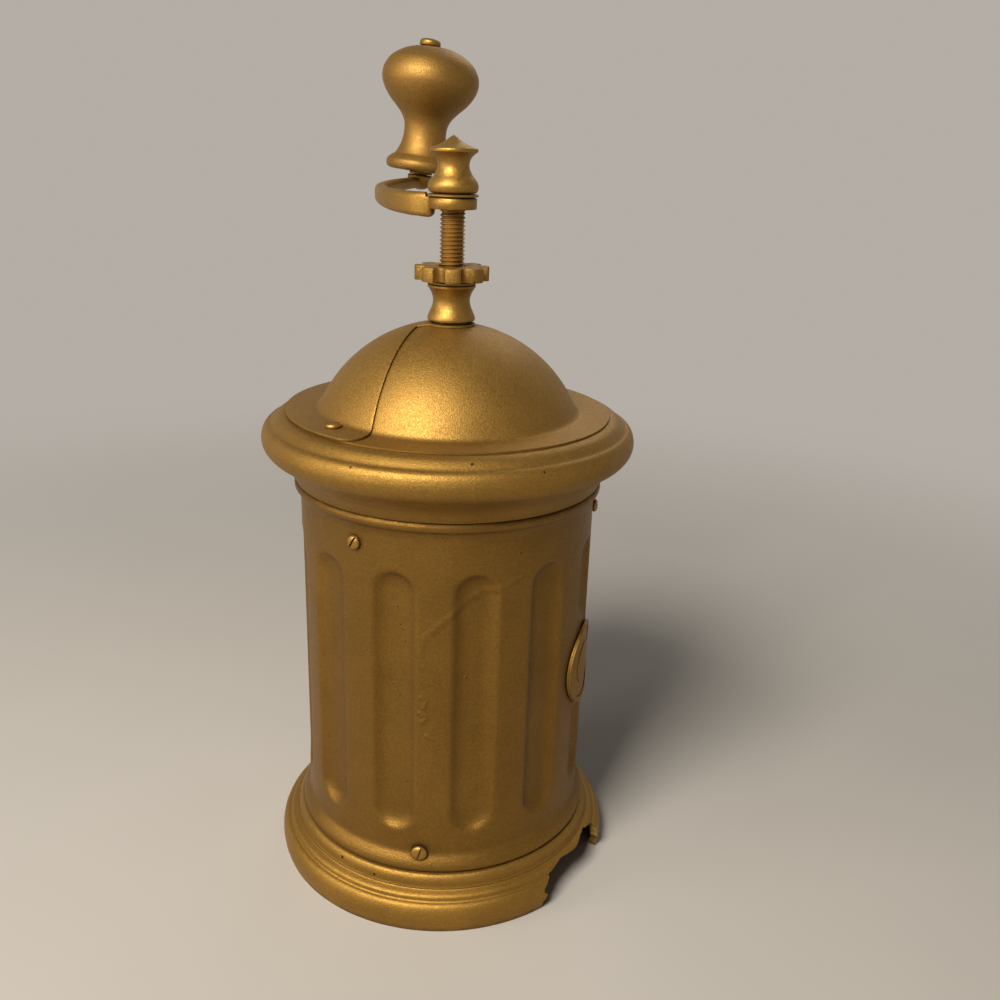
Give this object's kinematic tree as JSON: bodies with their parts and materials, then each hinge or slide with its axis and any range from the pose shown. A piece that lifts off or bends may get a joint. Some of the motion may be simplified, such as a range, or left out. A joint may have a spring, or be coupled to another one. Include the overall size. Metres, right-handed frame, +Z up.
{
  "type": "manual coffee grinder",
  "caption": "Fluted column coffee grinder with a domed sliding hatch, a star adjusting nut, a bowed crank with a turned knob and a drawer.",
  "frame": {"origin": "on the spindle axis at the level of the table, in the middle of the foot", "axes": "+Z up along the spindle, -Y towards the seam side of the dome, the drawer slides out along +Y and the crank points to +Y"},
  "size_m": [0.1232, 0.1702, 0.284],
  "materials": {
    "gold_paint": "satin gold bronze spray paint over metal, fine sparkle",
    "gold_wood": "the same gold bronze paint over turned wood",
    "cast_iron": "bare grey casting",
    "steel": "bare turned or hardened steel",
    "tinplate": "dull tinned sheet"
  },
  "bodies": {
    "housing": {"foot_ring": "gold_paint", "base_casting": "gold_paint", "foot_screw_1": "steel", "foot_screw_2": "steel", "foot_screw_3": "steel", "bottom_plate": "tinplate", "body_shell": "gold_paint", "medallion": "gold_paint", "cornice_lower": "gold_paint", "cornice_upper": "gold_paint", "fixed_dome": "gold_paint", "hopper_funnel": "cast_iron", "stirrup": "cast_iron", "neck_collar": "gold_paint", "burr_ring": "steel", "lower_bridge": "cast_iron", "drawer_rail_left": "tinplate", "drawer_rail_right": "tinplate", "upper_screw_1": "gold_paint", "upper_screw_2": "gold_paint", "upper_screw_3": "gold_paint", "lower_screw_1": "gold_paint", "lower_screw_2": "gold_paint", "lower_screw_3": "gold_paint", "stirrup_screw_1": "steel", "stirrup_screw_2": "steel", "bridge_screw_1": "steel", "bridge_screw_2": "steel"},
    "hatch": {"sliding_hatch": "gold_paint", "hatch_screw": "gold_paint", "hatch_nut": "steel"},
    "drive_washer": {"thrust_washer": "steel", "thrust_spring": "steel"},
    "star_nut": {"adjusting_nut": "gold_paint"},
    "rotor": {"spindle": "gold_paint", "spring_washer": "steel", "spring_pin": "steel", "burr_cone": "steel", "cone_nut": "steel", "crank_arm": "gold_paint", "crank_washer": "gold_paint", "finial_nut": "gold_paint", "knob_pin": "gold_paint", "knob_washer": "gold_paint"},
    "crank_knob": {"knob": "gold_wood"},
    "drawer": {"drawer_front": "gold_paint", "drawer_tray": "tinplate", "drawer_knob": "gold_paint"}
  },
  "joints": [
    {"name": "crank_turn", "type": "hinge", "parent": "housing", "child": "drive_washer", "pos_m": [0, 0, 0.2045], "axis": [0, 0, 1], "continuous": true},
    {"name": "spindle_lift", "type": "slide", "parent": "drive_washer", "child": "rotor", "axis": [0, 0, 1], "range_m": [-0.00125, 0.00063], "deforming": ["thrust_spring"]},
    {"name": "fineness_turn", "type": "hinge", "parent": "drive_washer", "child": "star_nut", "pos_m": [0, 0, 0.2075], "axis": [0, 0, 1], "range_deg": [-180, 360]},
    {"name": "knob_spin", "type": "hinge", "parent": "rotor", "child": "crank_knob", "pos_m": [-0.0179, 0.09, 0.23457], "axis": [0.1045, 0, 0.9945], "continuous": true},
    {"name": "hatch_turn", "type": "hinge", "parent": "housing", "child": "hatch", "pos_m": [0, 0, 0.192], "axis": [0, 0, 1], "range_deg": [-105, 0]},
    {"name": "drawer_slide", "type": "slide", "parent": "housing", "child": "drawer", "axis": [0, 1, 0], "range_m": [0, 0.06]}
  ],
  "couplings": [
    {"joint": "fineness_turn", "follows": "spindle_lift", "rad_per_m": -5026.5}
  ]
}
